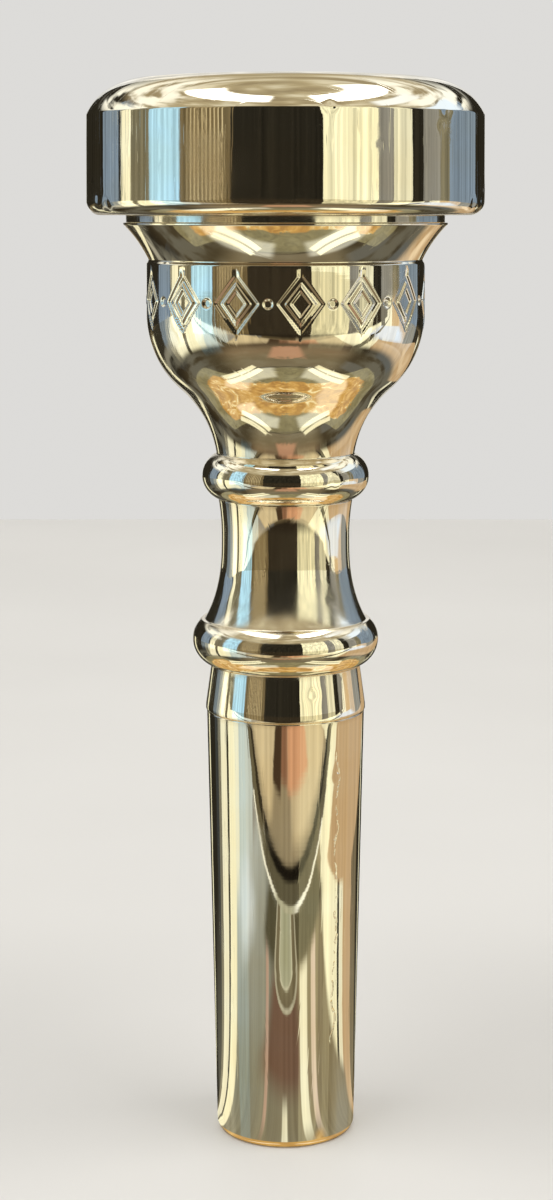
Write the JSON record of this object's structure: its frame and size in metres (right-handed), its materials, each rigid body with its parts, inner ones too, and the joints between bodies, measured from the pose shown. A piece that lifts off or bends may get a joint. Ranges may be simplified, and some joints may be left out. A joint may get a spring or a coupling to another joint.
{
  "type": "brass-wind mouthpiece",
  "caption": "Turned, silver-plated brass mouthpiece with a screw-on rim, a deep funnel cup, a screw-in backbore and a sliding tapered shank sleeve.",
  "frame": {"origin": "centre of the shank's flat end face, where the air leaves the mouthpiece", "axes": "+Z along the mouthpiece's own axis, from the shank end up to the rim; +X and +Y are equal, because every piece is turned about Z"},
  "size_m": [0.027, 0.027, 0.0712],
  "materials": {
    "silver_plate": "mirror-polished silver plate on turned brass",
    "seal_rubber": "black nitrile"
  },
  "bodies": {
    "sleeve": {"shank_sleeve": "silver_plate"},
    "backbore": {"backbore": "silver_plate"},
    "cup_seal": {"backbore_o_ring": "seal_rubber"},
    "cup": {"cup": "silver_plate"},
    "rim_seal": {"rim_o_ring": "seal_rubber"},
    "rim": {"rim": "silver_plate"}
  },
  "joints": [
    {"name": "stem_slide", "type": "slide", "parent": "sleeve", "child": "backbore", "axis": [0, 0, 1], "range_m": [0, 0.027]},
    {"name": "cup_lift", "type": "slide", "parent": "backbore", "child": "cup_seal", "axis": [0, 0, 1], "range_m": [0, 0.0038]},
    {"name": "cup_turn", "type": "hinge", "parent": "cup_seal", "child": "cup", "pos_m": [0, 0, 0.0429], "axis": [0, 0, 1], "range_deg": [0, 1800]},
    {"name": "rim_lift", "type": "slide", "parent": "cup", "child": "rim_seal", "axis": [0, 0, 1], "range_m": [0, 0.00305]},
    {"name": "rim_turn", "type": "hinge", "parent": "rim_seal", "child": "rim", "pos_m": [0, 0, 0.06215], "axis": [0, 0, 1], "range_deg": [0, 1440]}
  ],
  "couplings": [
    {"joint": "cup_lift", "follows": "cup_turn", "m_per_rad": 0.00011937},
    {"joint": "rim_lift", "follows": "rim_turn", "m_per_rad": 0.00011937}
  ]
}
